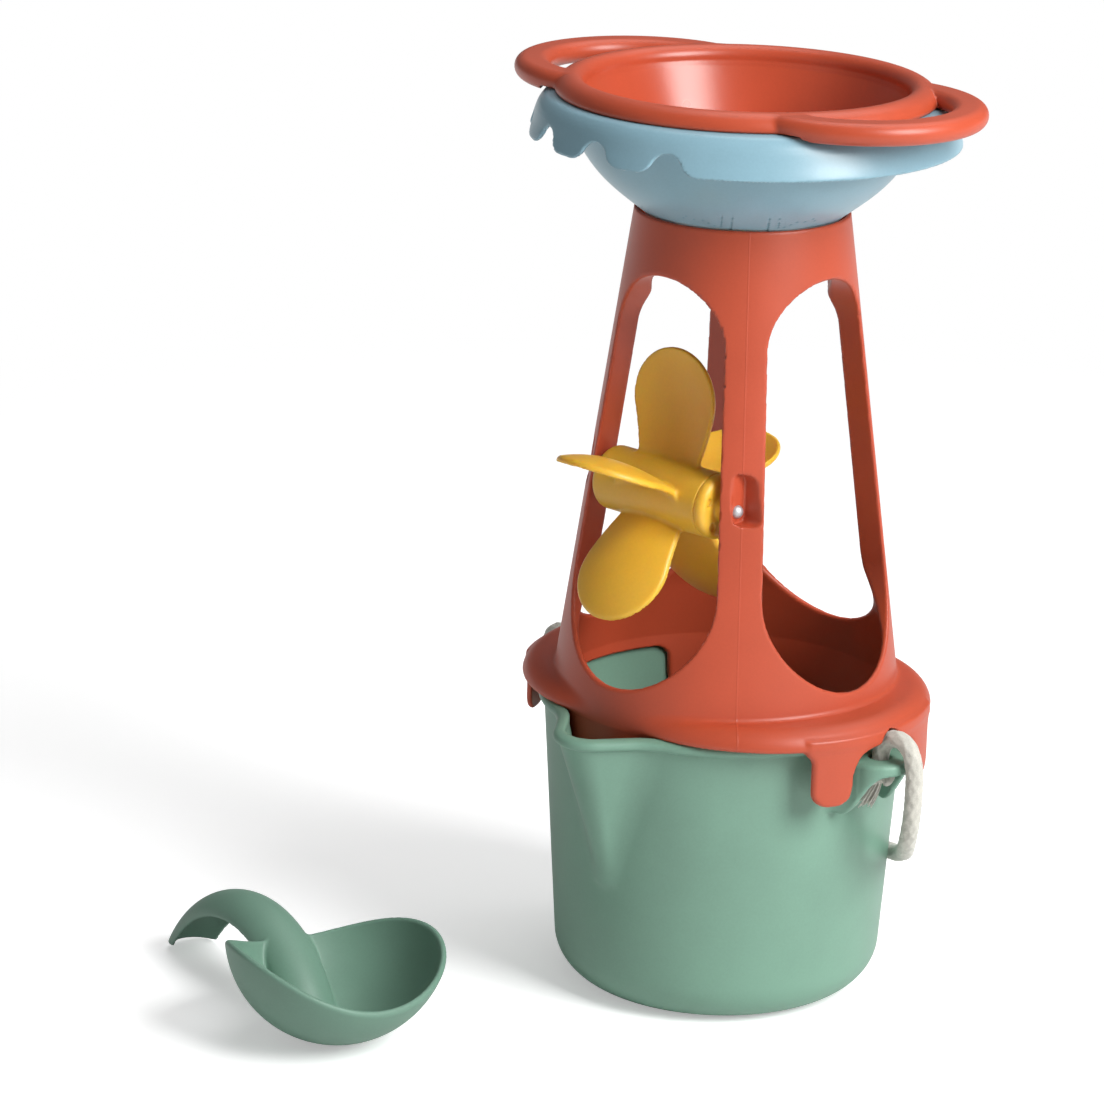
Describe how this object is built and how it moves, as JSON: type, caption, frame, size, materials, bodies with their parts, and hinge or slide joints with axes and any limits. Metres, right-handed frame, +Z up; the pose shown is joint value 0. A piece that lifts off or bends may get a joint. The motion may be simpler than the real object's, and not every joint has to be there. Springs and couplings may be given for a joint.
{
  "type": "sand wheel toy",
  "caption": "Beach toy: round bucket with rope handle carrying a lift-off tower with a spinning paddle wheel, a funnel and a sieve on top, and a matching scoop beside it.",
  "frame": {"origin": "centre of the bucket's base, on the floor", "axes": "+Z up; -Y the spout and wheel side; X along the axle, the rope ears and the sieve's handles"},
  "size_m": [0.2978, 0.3151, 0.4024],
  "materials": {
    "bucket": "satin moulded plastic",
    "rope": "braided cotton",
    "tower": "satin moulded plastic",
    "axle": "bright drawn steel",
    "wheel": "satin moulded plastic",
    "funnel": "satin moulded plastic",
    "sieve": "semi-gloss moulded plastic",
    "scoop": "satin moulded plastic"
  },
  "bodies": {
    "bucket": {"bucket": "bucket", "rope_handle": "rope", "rope_knot_right": "rope", "rope_knot_left": "rope"},
    "tower": {"mill_tower": "tower", "axle_pin": "axle"},
    "wheel": {"sand_wheel": "wheel"},
    "funnel": {"funnel": "funnel"},
    "sieve": {"sieve": "sieve"},
    "scoop": {"scoop": "scoop"}
  },
  "joints": [
    {"name": "tower_lift", "type": "slide", "parent": "bucket", "child": "tower", "axis": [0, 0, 1], "range_m": [0, 0.15]},
    {"name": "wheel_spin", "type": "hinge", "parent": "tower", "child": "wheel", "pos_m": [0, -0.0422, 0.229], "axis": [-1, 0, 0], "continuous": true},
    {"name": "funnel_lift", "type": "slide", "parent": "tower", "child": "funnel", "axis": [0, 0, 1], "range_m": [0, 0.1]},
    {"name": "sieve_lift", "type": "slide", "parent": "funnel", "child": "sieve", "axis": [0, 0, 1], "range_m": [0, 0.08]},
    {"name": "scoop_lift", "type": "slide", "parent": "bucket", "child": "scoop", "axis": [0, 0, 1], "range_m": [0, 0.1]}
  ]
}
